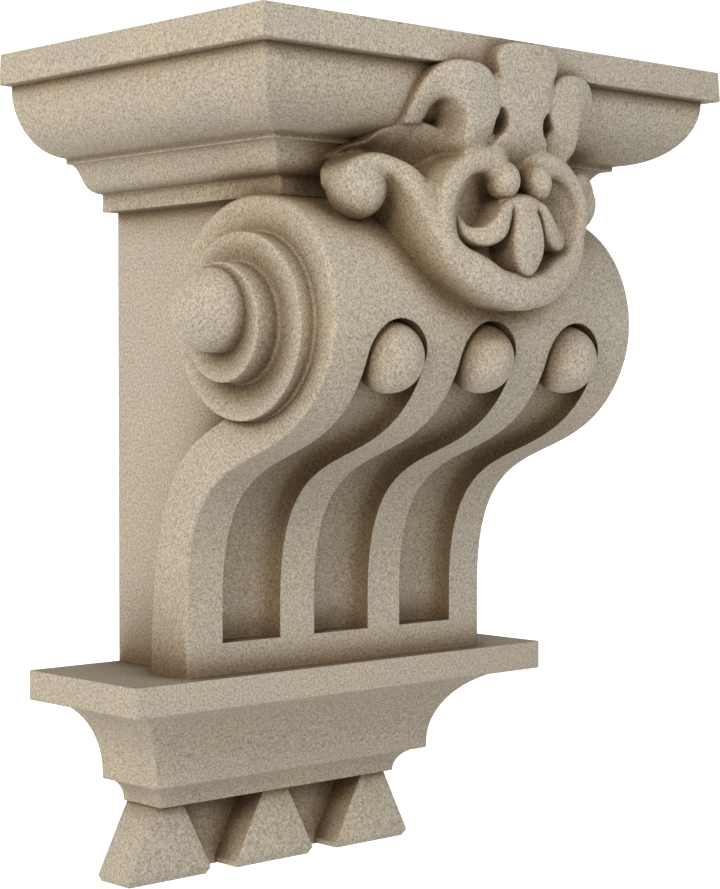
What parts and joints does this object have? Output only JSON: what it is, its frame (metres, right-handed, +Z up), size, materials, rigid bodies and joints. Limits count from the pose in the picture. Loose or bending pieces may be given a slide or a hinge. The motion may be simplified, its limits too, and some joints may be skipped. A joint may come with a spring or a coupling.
{
  "type": "stone corbel",
  "caption": "Carved stone wall corbel: moulded cap on a scrolled, fluted console with a palmette on its head and volutes at its sides, over a moulded ledge with tapering drops.",
  "frame": {"origin": "middle of the flat back face, where the corbel lies against the wall", "axes": "+Z up, -Y out of the wall towards the viewer, +Y into the wall, +X to the corbel's left as it looks out"},
  "size_m": [0.4534, 0.3116, 0.61],
  "materials": {
    "sandstone": "matt, fine-grained buff sandstone, rubbed smooth and slightly worn at its edges"
  },
  "bodies": {
    "root": {"corbel": "sandstone"}
  },
  "joints": []
}
